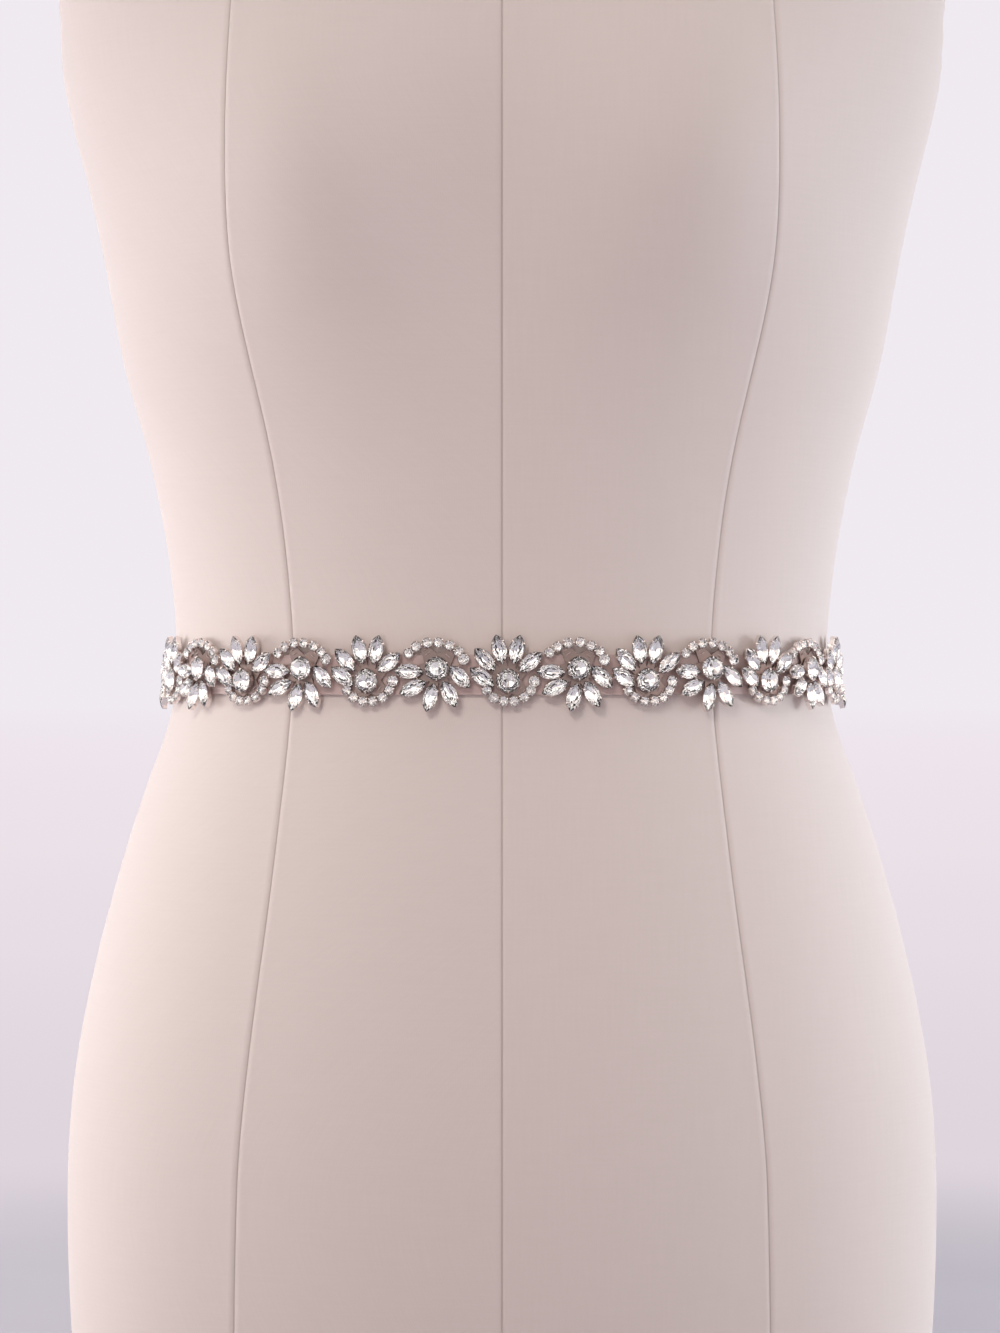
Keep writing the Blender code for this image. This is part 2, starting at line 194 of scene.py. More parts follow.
# The crystal trim
MOTIFS = 17
MOTIF_PITCH = 26.2 * MM
TRIM_SHIFT = 2 * MM
UP_CENTRE = -2.3 * MM
DOWN_CENTRE = 2.2 * MM

# Millimetres from the motif's middle, and degrees
Stone = namedtuple("Stone", "across up lean")
UP_PETALS = [
    Stone(-9.6, 1.4, 143),
    Stone(-8.4, 8.0, 132),
    Stone(-3.0, 11.8, 103),
    Stone(3.3, 11.7, 77),
    Stone(8.5, 6.9, 39),
]
DOWN_PETALS = [
    Stone(-10.5, -1.1, 179),
    Stone(-8.8, -7.4, 206),
    Stone(-2.0, -11.0, 255),
    Stone(4.9, -9.9, 297),
    Stone(8.8, -3.2, 313),
]
Arc = namedtuple("Arc", "across up radius_across radius_up start end")
UP_ARC = Arc(0.4, 0.4, 9.4, 8.4, 210, 355)
DOWN_ARC = Arc(-1.1, 1.4, 11.3, 8.5, 148, 14)
SMALL_STONES = 7

# Each cut: half sizes of the stone, then heights over the ribbon of its girdle and its table
Cut = namedtuple("Cut", "half_length half_width girdle table sides claws claw_radius")
NAVETTE = Cut(5.5 * MM, 2.75 * MM, 2.1 * MM, 3.5 * MM, 12, 4, 0.32 * MM)
ROUND = Cut(4.4 * MM, 4.4 * MM, 2.5 * MM, 4.2 * MM, 12, 6, 0.32 * MM)
SMALL = Cut(1.8 * MM, 1.8 * MM, 1.75 * MM, 2.7 * MM, 8, 4, 0.22 * MM)
ACCENT = Cut(2.1 * MM, 2.1 * MM, 1.95 * MM, 3.0 * MM, 8, 4, 0.22 * MM)
NAVETTE_FULLNESS = 2.5  # exponent of the outline: 2 is a parabola, more is fuller
PETAL_LIFT = (0.02, 0.15)  # radians by which a navette's outer end is raised
TILT = 0.09
CROWN_EDGE = 0.1  # rises and drops are shares of the crown's or the back's height
CROWN_MIDDLE = (0.80, 0.66)  # share of the outline, and rise
TABLE_SHARE = 0.56
BACK_HEIGHT = 0.72
BACK_MIDDLE = (0.62, 0.52)  # share of the outline, and drop
KEEL = (0.16, 0.6)  # shares of the outline's length and of its width to that
STONE_BED = 0.3 * MM  # metal under a stone

CUP_WALL = 0.15 * MM
CUP_SIDES = 24
CUP_RIM = 0.12 * MM  # over the girdle
CupLevel = namedtuple("CupLevel", "walls rise from_rim")
CUP_LEVELS = [
    CupLevel(0.4, 0.35 * MM, False),
    CupLevel(0.9, -0.5 * MM, True),
    CupLevel(1.2, -0.15 * MM, True),
    CupLevel(0.8, 0.0, True),
    CupLevel(0.25, -0.1 * MM, True),
    CupLevel(0.2, 0.6 * MM, False),
]
# A claw's path: out past the stone, up from its girdle, the crown's share of that, and its thickness
ClawStep = namedtuple("ClawStep", "out rise crown thick")
CLAW_PATH = [
    ClawStep(CUP_WALL * 1.4, -1.0 * MM, 0.0, 0.9),
    ClawStep(CUP_WALL * 1.3, 0.0, 0.1, 1.0),
    ClawStep(-0.1 * MM, 0.0, 0.42, 1.0),
    ClawStep(-0.45 * MM, 0.0, 0.62, 0.8),
    ClawStep(-0.62 * MM, 0.0, 0.66, 0.35),
]
CLAW_SHOULDER = math.radians(58)  # where a navette's claws stand, from its long axis
CLAW_PROBE = 0.05  # the turn that measures which way the outline runs

BACKING_THICK = 0.8 * MM
HUB_RADIUS = 5.2 * MM
ARM_HALF_WIDTH = 1.2 * MM
ARC_ARMS = (0.25, 0.75)  # shares of the arc's length where the backing's arms meet it
STITCH_SHARES = (0.62, 0.78)  # how far out along an arm its stitches are
STITCH_SPAN = 1.5 * MM
STITCH_RISE = 1.4 * MM
STITCH_STEPS = 6
THREAD_RADIUS = 0.16 * MM
LINK_RADIUS = 0.5 * MM
LINK_RISE = 0.8 * MM
ROD_SIDES = 6  # of the claws, the links and the thread
CUP_CREASE = math.radians(40)
MOTIF_SEED = 100  # each motif's number is added to it

# Colours and finishes
Cloth = namedtuple("Cloth", "name light dark roughness threads slubs contrast bump sheen")
LINEN = Cloth(
    "form_linen", (0.75, 0.64, 0.595), (0.66, 0.555, 0.51), 0.9, 2200.0, 0.4, 0.1, 0.02 * MM, 0.2
)
SATIN = Cloth(
    "ribbon_satin", (0.54, 0.395, 0.37), (0.47, 0.34, 0.315), 0.4, 3600.0, 0.3, 0.03, 0.005 * MM, 0.3
)
SHEEN_ROUGHNESS = 0.5
SATIN_ANISOTROPY = 0.5
SLUB_STRETCHES = ((0.02, 0.5, 1.0), (0.5, 0.02, 1.0))  # long streaks, one way and the other
# Painted shade: the seam line is darkened as if in the shadow of its groove
SEAM_PAINTED_SHADE = (0.47, 0.395, 0.365)
SELVEDGE_COLOUR = (0.60, 0.465, 0.435)
SELVEDGE_SHARE = 0.22
GLASS_COLOUR = (0.97, 0.98, 0.98)
GLASS_IOR = 1.56
Metal = namedtuple("Metal", "name colour roughness variation")
STONE_FOIL = Metal("stone_foil", (0.95, 0.935, 0.93), 0.06, 0.03)
CUP_SILVER = Metal("cup_silver", (0.86, 0.79, 0.76), 0.25, 0.12)
# Painted shade: the real open backing is coloured a dark rose-brown so that the gaps between the stones
# read as cloth in shadow
BACKING_PAINTED_SHADE = Metal("backing_shade_painted", (0.27, 0.205, 0.19), 0.45, 0.2)
POLISH_SCALE = 900.0


# Geometry that the solids share


def bell(distance, spread):
    return math.exp(-((distance / spread) ** 2))


def smooth_row(rows, height):
    """A row of a table at a height, on a smooth curve through the table's rows."""
    heights = [row.height for row in rows]
    low = min(max(bisect_right(heights, height) - 1, 0), len(heights) - 2)
    before, start = rows[max(low - 1, 0)], rows[low]
    end, after = rows[low + 1], rows[min(low + 2, len(heights) - 1)]
    span = end.height - start.height
    t = (height - start.height) / span
    values = []
    for column in range(len(start)):
        slope_in = (end[column] - before[column]) / (end.height - before.height) * span
        slope_out = (after[column] - start[column]) / (after.height - start.height) * span
        values.append(
            (2 * t**3 - 3 * t**2 + 1) * start[column]
            + (t**3 - 2 * t**2 + t) * slope_in
            + (3 * t**2 - 2 * t**3) * end[column]
            + (t**3 - t**2) * slope_out
        )
    return type(start)(*values)


@lru_cache(maxsize=None)
def section_at(height):
    return smooth_row(FORM_SECTIONS, height)


def form_point(angle, height):
    """A point of the form's surface. Angle 0 is the centre front and it grows towards +X."""
    section = section_at(height)
    side, forward = math.sin(angle), math.cos(angle)
    depth = section.front if forward > 0 else section.back
    reach = abs(side / section.half_width) ** SQUARENESS + abs(forward / depth) ** SQUARENESS
    reach **= -1 / SQUARENESS
    x, y = reach * side, -reach * forward
    fade = min(1.0, SIDE_FADE * abs(forward))
    if forward > 0:
        y -= section.bust * fade * bell(abs(x) - BUST_APART, BUST_SPREAD)
    else:
        y += section.seat * fade * bell(abs(x) - SEAT_APART, SEAT_SPREAD)
    x = min(max(x, -ARM_PLATE), ARM_PLATE)
    return Vector((x, y, WAIST_HEIGHT + height))


def surface_axes(angle, height):
    """Unit vectors along the waist, up the form and out of its surface."""
    along = form_point(angle + PROBE_TURN, height) - form_point(angle - PROBE_TURN, height)
    up = form_point(angle, height + PROBE_RISE) - form_point(angle, height - PROBE_RISE)
    along.normalize()
    out = along.cross(up).normalized()
    return along, out.cross(along), out


def off_form(angle, height, out):
    """A point this far off the form's surface."""
    return form_point(angle, height) + surface_axes(angle, height)[2] * out


def waist_lengths():
    """(length, angle) pairs along the ribbon's outer face at mid height, from the centre front."""
    pairs = [(0.0, 0.0)]
    last = off_form(0.0, 0.0, CLEAR + RIBBON_THICK)
    while pairs[-1][1] < math.pi:
        angle = pairs[-1][1] + PROBE_TURN
        point = off_form(angle, 0.0, CLEAR + RIBBON_THICK)
        pairs.append((pairs[-1][0] + (point - last).length, angle))
        last = point
    return pairs


WAIST = waist_lengths()
HALF_WAIST = WAIST[-1][0]


def angle_at(length):
    """The angle that lies this far along the waist from the centre front."""
    index = min(bisect_right(WAIST, (abs(length), 0.0)), len(WAIST) - 1)
    (short, low), (long, high) = WAIST[index - 1], WAIST[index]
    return math.copysign(low + (high - low) * (abs(length) - short) / (long - short), length)


def on_ribbon(length, height, out):
    """A point over the ribbon, this far out of its outer face."""
    return off_form(angle_at(length), height, CLEAR + RIBBON_THICK + out)


# Mesh building


def turns_round(count):
    return [2 * math.pi * k / count for k in range(count)]


class Shape:
    """Points and faces gathered for one piece, each face with its material's place in the list."""

    def __init__(self):
        self.points = []
        self.faces = []
        self.looks = []

    def ring(self, spots):
        start = len(self.points)
        self.points += spots
        return list(range(start, len(self.points)))

    def face(self, corners, look=0):
        self.faces.append(tuple(corners))
        self.looks.append(look)

    def facets(self, low, high, look):
        """Triangles between two closed rings, where the high one is turned by half a side."""
        for k in range(len(low)):
            after = (k + 1) % len(low)
            self.face((low[k], low[after], high[k]), look)
            self.face((high[k], low[after], high[after]), look)

    def grid(self, rows, closed=False, look=0):
        """Quads between neighbouring rows of point numbers."""
        for low, high in zip(rows, rows[1:]):
            for k in range(len(low) if closed else len(low) - 1):
                after = (k + 1) % len(low)
                self.face((low[k], low[after], high[after], high[k]), look)

    def tube(self, rings):
        """A tube through rings of point numbers, with both ends closed."""
        self.grid(rings, closed=True)
        self.face(reversed(rings[0]))
        self.face(rings[-1])

    def rod(self, stations):
        """A rod through stations: each a middle, two crosswise axes and a radius."""
        turns, rings = turns_round(ROD_SIDES), []
        for middle, side, other, radius in stations:
            spots = [middle + (side * math.cos(t) + other * math.sin(t)) * radius for t in turns]
            rings.append(self.ring(spots))
        self.tube(rings)

    def build(self, name, materials, smooth=True):
        mesh = bpy.data.meshes.new(name)
        mesh.from_pydata(self.points, [], self.faces)
        for material in materials:
            mesh.materials.append(material)
        mesh.polygons.foreach_set("material_index", self.looks)
        mesh.polygons.foreach_set("use_smooth", [smooth] * len(self.faces))
        mesh.validate()
        obj = bpy.data.objects.new(name, mesh)
        bpy.context.scene.collection.objects.link(obj)
        return obj


def add_values(obj, name, kind, values):
    """Stores a value for each point, which the piece's material reads."""
    attribute = obj.data.attributes.new(name, kind, "POINT")
    field = "vector" if kind == "FLOAT_VECTOR" else "value"
    flat = [part for value in values for part in value] if kind == "FLOAT_VECTOR" else values
    attribute.data.foreach_set(field, flat)


# Materials


def wire(tree, node, inputs):
    """Gives each of a node's named inputs a socket to follow, or a value."""
    for key, value in inputs.items():
        if isinstance(value, bpy.types.NodeSocket):
            tree.links.new(value, node.inputs[key])
        else:
            node.inputs[key].default_value = value


def add_node(tree, kind, inputs=None, **settings):
    node = tree.nodes.new(kind)
    for key, value in settings.items():
        setattr(node, key, value)
    wire(tree, node, inputs or {})
    return node


def new_material(name, colour, roughness, metallic=0.0):
    material = bpy.data.materials.new(name)
    material.use_nodes = True
    tree = material.node_tree
    shader = tree.nodes["Principled BSDF"]
    finish = {"Base Color": (*colour, 1.0), "Roughness": roughness, "Metallic": metallic}
    wire(tree, shader, finish)
    return material, tree, shader


def math_node(tree, operation, *values):
    """A Math node. Each value is a socket or a number."""
    node = add_node(tree, "ShaderNodeMath", dict(enumerate(values)), operation=operation)
    return node.outputs[0]


def new_group(name, numbers, outputs):
    """An empty node group that takes a place and the named numbers, with its input and output nodes."""
    group = bpy.data.node_groups.new(name, "ShaderNodeTree")
    group.interface.new_socket("Place", in_out="INPUT", socket_type="NodeSocketVector")
    for label, value in numbers.items():
        socket = group.interface.new_socket(label, in_out="INPUT", socket_type="NodeSocketFloat")
        socket.default_value = value
    for label in outputs:
        group.interface.new_socket(label, in_out="OUTPUT", socket_type="NodeSocketFloat")
    return group, group.nodes.new("NodeGroupInput"), group.nodes.new("NodeGroupOutput")


def weave_group():
    """A plain weave: threads over and under each other, with slubs that vary along them."""
    numbers = {"Threads per metre": 1500.0, "Slubs": 0.5, "Contrast": 0.14}
    group, given, result = new_group("plain_weave", numbers, ("Height", "Shade"))
    place = {0: given.outputs["Place"], "Scale": given.outputs["Threads per metre"]}
    scaled = add_node(group, "ShaderNodeVectorMath", place, operation="SCALE").outputs[0]
    split = add_node(group, "ShaderNodeSeparateXYZ", {0: scaled})
    waves = []
    for axis in ("X", "Y"):
        turned = math_node(group, "MULTIPLY", split.outputs[axis], math.pi)
        waves.append(math_node(group, "SINE", turned))
    crossing = math_node(group, "MULTIPLY", waves[0], waves[1])
    woven = math_node(group, "MULTIPLY_ADD", crossing, 0.5, 0.5)
    streaks = []
    for stretch in SLUB_STRETCHES:
        longer = add_node(group, "ShaderNodeVectorMath", {0: scaled, 1: stretch}, operation="MULTIPLY")
        slubs = {"Vector": longer.outputs[0], "Scale": 1.0, "Detail": 3.0, "Roughness": 0.6}
        streaks.append(add_node(group, "ShaderNodeTexNoise", slubs).outputs["Fac"])
    streak = math_node(group, "ADD", streaks[0], streaks[1])
    centred = math_node(group, "SUBTRACT", streak, 1.0)
    slub = math_node(group, "MULTIPLY", centred, given.outputs["Slubs"])
    height = math_node(group, "ADD", woven, slub)
    off_middle = math_node(group, "MULTIPLY", crossing, given.outputs["Contrast"])
    shade = math_node(group, "ADD", math_node(group, "ADD", off_middle, 0.5), slub)
    wire(group, result, {"Height": height, "Shade": shade})
    return group


MIX_ENDS, MIX_RESULT = (6, 7), 2  # places of the colour sockets on a Mix node


def mix_colours(tree, factor, first, second):
    """A colour mix. The factor is a socket; each colour is a socket or a tuple."""
    inputs = {"Factor": factor}
    for place, colour in zip(MIX_ENDS, (first, second)):
        inputs[place] = (*colour, 1.0) if isinstance(colour, tuple) else colour
    return add_node(tree, "ShaderNodeMix", inputs, data_type="RGBA").outputs[MIX_RESULT]


def colour_ramp(tree, factor, stops, interpolation="LINEAR"):
    """A colour that changes along the (position, colour) stops."""
    node = add_node(tree, "ShaderNodeValToRGB", {"Fac": factor})
    node.color_ramp.interpolation = interpolation
    made = node.color_ramp.elements
    for number, (position, colour) in enumerate(stops):
        stop = made[number] if number < len(made) else made.new(position)
        stop.position, stop.color = position, (*colour, 1.0)
    return node.outputs["Color"]


def cloth_material(cloth, weave):
    """Woven cloth: its weave shades the colour and lifts the surface."""
    material, tree, shader = new_material(cloth.name, cloth.light, cloth.roughness)
    place = add_node(tree, "ShaderNodeAttribute", attribute_name="cloth_place")
    threads = {
        "Place": place.outputs["Vector"],
        "Threads per metre": cloth.threads,
        "Slubs": cloth.slubs,
        "Contrast": cloth.contrast,
    }
    group = add_node(tree, "ShaderNodeGroup", threads, node_tree=weave)
    colour = mix_colours(tree, group.outputs["Shade"], cloth.dark, cloth.light)
    relief = {"Height": group.outputs["Height"], "Strength": 1.0, "Distance": cloth.bump}
    raised = add_node(tree, "ShaderNodeBump", relief).outputs["Normal"]
    nap = {"Sheen Weight": cloth.sheen, "Sheen Roughness": SHEEN_ROUGHNESS}
    wire(tree, shader, {"Normal": raised, **nap})
    return material, tree, shader, colour


def linen_material(weave):
    """Blush linen, with painted shade darkening the sunk seams."""
    material, tree, shader, colour = cloth_material(LINEN, weave)
    seam = add_node(tree, "ShaderNodeAttribute", attribute_name="seam")
    shaded = mix_colours(tree, seam.outputs["Fac"], colour, SEAM_PAINTED_SHADE)
    wire(tree, shader, {"Base Color": shaded})
    return material


def satin_material(weave):
    """Blush satin with a paler selvedge along both edges of the ribbon."""
    material, tree, shader, colour = cloth_material(SATIN, weave)
    place = add_node(tree, "ShaderNodeAttribute", attribute_name="cloth_place")
    split = add_node(tree, "ShaderNodeSeparateXYZ", {0: place.outputs["Vector"]})
    in_width = math_node(tree, "MODULO", split.outputs["Y"], RIBBON_WIDTH)
    off_middle = math_node(tree, "ABSOLUTE", math_node(tree, "SUBTRACT", in_width, RIBBON_WIDTH / 2))
    edge = math_node(tree, "GREATER_THAN", off_middle, RIBBON_WIDTH / 2 - SELVEDGE)
    faint = math_node(tree, "MULTIPLY", edge, SELVEDGE_SHARE)
    edged = mix_colours(tree, faint, colour, SELVEDGE_COLOUR)
    wire(tree, shader, {"Base Color": edged, "Anisotropic": SATIN_ANISOTROPY})
    return material


def glass_material():
    material, tree, shader = new_material("crystal_glass", GLASS_COLOUR, 0.0)
    wire(tree, shader, {"Transmission Weight": 1.0, "IOR": GLASS_IOR})
    return material


def polish_group():
    """A roughness that varies a little over plated metal."""
    numbers = {"Roughness": 0.25, "Variation": 0.1}
    group, given, result = new_group("uneven_polish", numbers, ("Roughness",))
    wear = {"Vector": given.outputs["Place"], "Scale": POLISH_SCALE, "Detail": 2.0}
    noise = add_node(group, "ShaderNodeTexNoise", wear)
    centred = math_node(group, "SUBTRACT", noise.outputs["Fac"], 0.5)
    uneven = math_node(group, "MULTIPLY", centred, given.outputs["Variation"])
    rough = math_node(group, "ADD", uneven, given.outputs["Roughness"])
    wire(group, result, {"Roughness": rough})
    return group


def metal_material(metal, polish):
    """Plated metal, with faint unevenness in its polish."""
    material, tree, shader = new_material(metal.name, metal.colour, metal.roughness, 1.0)
    place = add_node(tree, "ShaderNodeTexCoord").outputs["Object"]
    wear = {"Place": place, "Roughness": metal.roughness, "Variation": metal.variation}
    group = add_node(tree, "ShaderNodeGroup", wear, node_tree=polish)
    wire(tree, shader, {"Roughness": group.outputs["Roughness"]})
    return material


# The dress form's linen cover


def angle_at_side(across, height, low, high):
    """The angle between low and high where the form is this far from its middle."""
    rising = form_point(high, height).x > form_point(low, height).x
    for _ in range(SEAM_HALVINGS):
        middle = (low + high) / 2
        if (form_point(middle, height).x < across) == rising:
            low = middle
        else:
            high = middle
    return (low + high) / 2


def seams_at(height):
    """The angles of the eight vertical seams, from the centre front round by +X."""
    spot = smooth_row(PRINCESS_SEAM, height)
    front = angle_at_side(spot.front, height, 0.0, math.pi / 2)
    back = angle_at_side(spot.back, height, math.pi / 2, math.pi)
    half = [0.0, front, math.pi / 2, back, math.pi]
    return half + [2 * math.pi - angle for angle in (back, math.pi / 2, front)]


def run_per_radian(low, high, height):
    """How far the surface runs for each radian, between angles one seam probe apart."""
    return (form_point(high, height) - form_point(low, height)).length / SEAM_PROBE


def cover_row(height):
    """(angle, rise, painted seam shade) for each column of one row of the cover."""
    seams = seams_at(height)
    princess = 1.0 if height < PRINCESS_END else 0.0
    side = 0.0 if ARM_PLATE_REACH[0] < height < ARM_PLATE_REACH[1] else 1.0
    fades = [1.0, princess, side, princess] * 2
    columns = []
    for number, angle in enumerate(seams):
        after = seams[number + 1] if number + 1 < len(seams) else 2 * math.pi
        here, there = fades[number], fades[(number + 1) % len(seams)]
        starts = run_per_radian(angle, angle + SEAM_PROBE, height)
        ends = run_per_radian(after - SEAM_PROBE, after, height)
        # the third value is the painted seam shade, full on the seam line
        columns.append((angle, -SEAM_DEPTH * here, here))
        near = [(angle + step.offset / starts, step.rise * here, 0.0) for step in SEAM_STEPS]
        far = [(after - step.offset / ends, step.rise * there, 0.0) for step in reversed(SEAM_STEPS)]
        first, last = near[-1][0], far[0][0]
        between = [
            (first + (last - first) * k / (PANEL_COLUMNS + 1), 0.0, 0.0)
            for k in range(1, PANEL_COLUMNS + 1)
        ]
        columns += near + between + far
    return columns


def build_cover(linen):
    """The linen over the whole form, with its seams sunk in, and flat over the neck and underneath."""
    shape = Shape()
    bottom, top = FORM_SECTIONS[0].height, FORM_SECTIONS[-1].height
    steps = round((top - bottom) / COVER_ROW)
    rows, places, seams = [], [], []
    for step in range(steps + 1):
        height = bottom + (top - bottom) * step / steps
        columns = cover_row(height)
        spots = [off_form(angle, height, rise) for angle, rise, _ in columns]
        for spot in spots:
            spot.z = WAIST_HEIGHT + height
        rows.append(shape.ring(spots))
        length = 0.0
        for k, spot in enumerate(spots):
            length += (spot - spots[k - 1]).length if k else 0.0
            places.append((length, height, 0.0))
        seams += [seam for _, _, seam in columns]
    shape.grid(rows, closed=True)
    for row, height, upward in ((rows[0], bottom, False), (rows[-1], top, True)):
        middle = Vector((0.0, 0.0, WAIST_HEIGHT + height))
        rim, last = [shape.points[k] for k in row], row
        for share in CAP_RINGS:
            ring = shape.ring([middle.lerp(spot, share) for spot in rim])
            shape.grid((last, ring) if upward else (ring, last), closed=True)
            last = ring
        shape.face(last if upward else reversed(last))
        flat_spots = shape.points[len(places) :]
        places += [(spot.x, spot.y, 0.0) for spot in flat_spots]
        seams += [0.0] * len(flat_spots)
    cover = shape.build("form_cover", [linen])
    cover.data.set_sharp_from_angle(angle=COVER_CREASE)
    add_values(cover, "cloth_place", "FLOAT_VECTOR", places)
    # the seam values darken the linen along each seam as painted shade
    add_values(cover, "seam", "FLOAT", seams)
    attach(cover, "root")
    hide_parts("dress_form")


# The ribbon


def sew_strip(name, node, satin, point, place, rows, columns, closed=False):
    """A thin strip of satin: point() places it in space, and place() on the flat cloth."""
    shape = Shape()
    layers, places = [], []
    for layer in (0, 1):
        grid = []
        for row in range(rows + 1):
            across = range(columns if closed else columns + 1)
            grid.append(shape.ring([point(row, column, layer) for column in across]))
            places += [(*place(row, column), 0.0) for column in across]
        layers.append(grid)
    inner, outer = layers
    shape.grid([row[::-1] for row in inner], closed)
    shape.grid(outer, closed)
    shape.grid([inner[0], outer[0]], closed)
    shape.grid([outer[-1], inner[-1]], closed)
    if not closed:
        shape.grid([[row[0] for row in outer], [row[0] for row in inner]])
        shape.grid([[row[-1] for row in inner], [row[-1] for row in outer]])
    strip = shape.build(name, [satin])
    strip.data.set_sharp_from_angle(angle=RIBBON_CREASE)
    add_values(strip, "cloth_place", "FLOAT_VECTOR", places)
    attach(strip, "root")
    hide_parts(node)
    return strip


def build_band(satin):
    """The stretch of ribbon round the waist, gathered where it enters the knot."""

    def band_place(row, column):
        return HALF_WAIST * (2 * column / BAND_COLUMNS - 1), RIBBON_WIDTH * row / BAND_ROWS

    def band_point(row, column, layer):
        length = band_place(row, column)[0]
        across = 2 * row / BAND_ROWS - 1
        to_knot = HALF_WAIST - abs(length)
        height = RIBBON_WIDTH / 2 * (1 - GATHER * bell(to_knot, GATHER_REACH)) * across
        near_knot = bell(to_knot, PLEAT_REACH)
        pleat = PLEAT_DEPTH * near_knot * math.cos(2 * math.pi * BAND_PLEATS * across)
        return on_ribbon(length, height, (layer - 1) * SATIN_THICK + pleat - PLEAT_DEPTH * near_knot)

    size = (BAND_ROWS, BAND_COLUMNS)
    band = sew_strip("satin_band", "ribbon_band", satin, band_point, band_place, *size, closed=True)


def build_knot(satin):
    """The ribbon passed twice over itself: a creased knot, drawn in where the band goes into it."""
    cut = (2 * RIBBON_WIDTH, 2 * math.pi * (KNOT_HALF_HEIGHT + KNOT_DEPTH / 2) / 2)
    along, up, out = surface_axes(math.pi, 0.0)
    seat = off_form(math.pi, 0.0, CLEAR + RIBBON_THICK + GAP)

    def knot_point(row, column, layer):
        turn = math.pi * (2 * row / KNOT_TURNS - 1) * KNOT_CLOSED
        across = math.sin(math.pi / 2 * (2 * column / KNOT_COLUMNS - 1))
        full = (1 - abs(across) ** KNOT_DRAW_IN[0]) ** KNOT_DRAW_IN[1]
        half_height = MOUTH_HALF_HEIGHT + (KNOT_HALF_HEIGHT - MOUTH_HALF_HEIGHT) * full
        half_depth = (MOUTH_DEPTH + (KNOT_DEPTH - MOUTH_DEPTH) * full) / 2
        outward = (1 + math.cos(turn)) / 2
        crease = 1 - abs(math.sin(KNOT_FOLDS * math.pi / 2 * across)) ** FOLD_WIDTH
        fold = -KNOT_FOLD * crease * (FOLD_BEHIND + (1 - FOLD_BEHIND) * outward) * full
        reach = fold - (1 - layer) * SATIN_THICK
        rise = math.copysign(abs(math.sin(turn)) ** KNOT_CORNER, math.sin(turn))
        tall = (half_height + reach) * rise
        deep = half_depth + (half_depth + reach) * math.cos(turn)
        wide = KNOT_HALF_WIDTH * (across + FOLD_SLANT * math.sin(turn) * full)
        return seat + along * wide + up * tall + out * deep

    def knot_place(row, column):
        return cut[1] * row / KNOT_TURNS, cut[0] * column / KNOT_COLUMNS

    knot = sew_strip("satin_knot", "knot", satin, knot_point, knot_place, KNOT_TURNS, KNOT_COLUMNS)


def back_depth(x, height):
    """How far back the form's surface lies; below the seat's fullest point cloth hangs straight."""
    section = section_at(max(height, SEAT_HEIGHT))
    round_share = 1 - abs(x / section.half_width) ** SQUARENESS
    lobes = section.seat * bell(abs(x) - SEAT_APART, SEAT_SPREAD)
    return section.back * round_share ** (1 / SQUARENESS) + lobes


def build_tail(tail, satin):
    """A free ribbon end that falls from under the knot and lies on the form's back."""
    top = -KNOT_HALF_HEIGHT - GAP

    def drop_at(row, across):
        share = (row / TAIL_ROWS) ** TAIL_CROWDING
        return share * (TAIL_TUCK + tail.length + TAIL_SLANT * across * tail.side) - TAIL_TUCK

    def tail_point(row, column, layer):
        across = 2 * column / TAIL_COLUMNS - 1
        drop = drop_at(row, across)
        pinch = math.exp(-drop / PINCH_REACH)
        half = RIBBON_WIDTH / 2 * (1 - PINCH * pinch)
        sway = tail.sway * math.sin(math.pi * drop / tail.length * SWAY_TURNS)
        middle = tail.side * (TAIL_START + TAIL_SPLAY * drop) + sway * (1 - pinch)
        x = middle + half * across
        pleat = TAIL_PLEAT * math.cos(2 * math.pi * TAIL_PLEATS * across)
        curl = TAIL_CURL * (1 - pinch) * math.sin(math.pi * drop / CURL_REACH) * across
        lift = TAIL_LIFT + pinch * (PINCH_LIFT + pleat) + curl + (layer - 0.5) * SATIN_THICK
        return Vector((x, back_depth(x, top - drop) + lift, WAIST_HEIGHT + top - drop))

    def tail_place(row, column):
        return drop_at(row, 0.0), RIBBON_WIDTH * column / TAIL_COLUMNS

    size = (TAIL_ROWS, TAIL_COLUMNS)
    ribbon = sew_strip(f"satin_{tail.name}", tail.name, satin, tail_point, tail_place, *size)


# The crystal trim


def outline(cut, turn, grow=0.0):
    """A point of a stone's outline, as lengthwise and crosswise distances."""
    u, v = math.cos(turn), math.sin(turn)
    if cut is NAVETTE:
        v = math.copysign(1 - abs(u) ** NAVETTE_FULLNESS, v)
    return (cut.half_length + grow) * u, (cut.half_width + grow) * v


class Seat:
    """Where a stone sits: its axes, turned by its lean, with a little unevenness of its own."""

    def __init__(self, cut, length, height, lean, chance):
        along, up, out = surface_axes(angle_at(length), height)
        forward = along * math.cos(lean) + up * math.sin(lean)
        sideways = out.cross(forward)
        lift = chance.uniform(*PETAL_LIFT) if cut is NAVETTE else chance.uniform(-TILT, TILT)
        twist = chance.uniform(-TILT, TILT)
        raised = cut.half_length * abs(math.sin(lift)) + cut.half_width * abs(math.sin(twist))
        self.origin = on_ribbon(length, height, GAP) + out * raised
        self.lengthwise = forward * math.cos(lift) + out * math.sin(lift)
        self.cross = (sideways * math.cos(twist) + out * math.sin(twist)).normalized()
        self.out = self.lengthwise.cross(self.cross).normalized()

    def spot(self, u, v, rise):
        return self.origin + self.lengthwise * u + self.cross * v + self.out * (rise - GAP)


def stone_ring(shape, seat, cut, scale, rise, half_step=False, flatten=1.0):
    """A ring of points round a stone. flatten below 1 draws it in to a line along the stone."""
    spots = []
    for k in range(cut.sides):
        u, v = outline(cut, 2 * math.pi * (k + (0.5 if half_step else 0.0)) / cut.sides)
        spots.append(seat.spot(u * scale, v * scale * flatten, rise))
    return shape.ring(spots)


# Places in the lists of materials: the stones' and the settings'
GLASS, FOIL = 0, 1
BACKING = 1


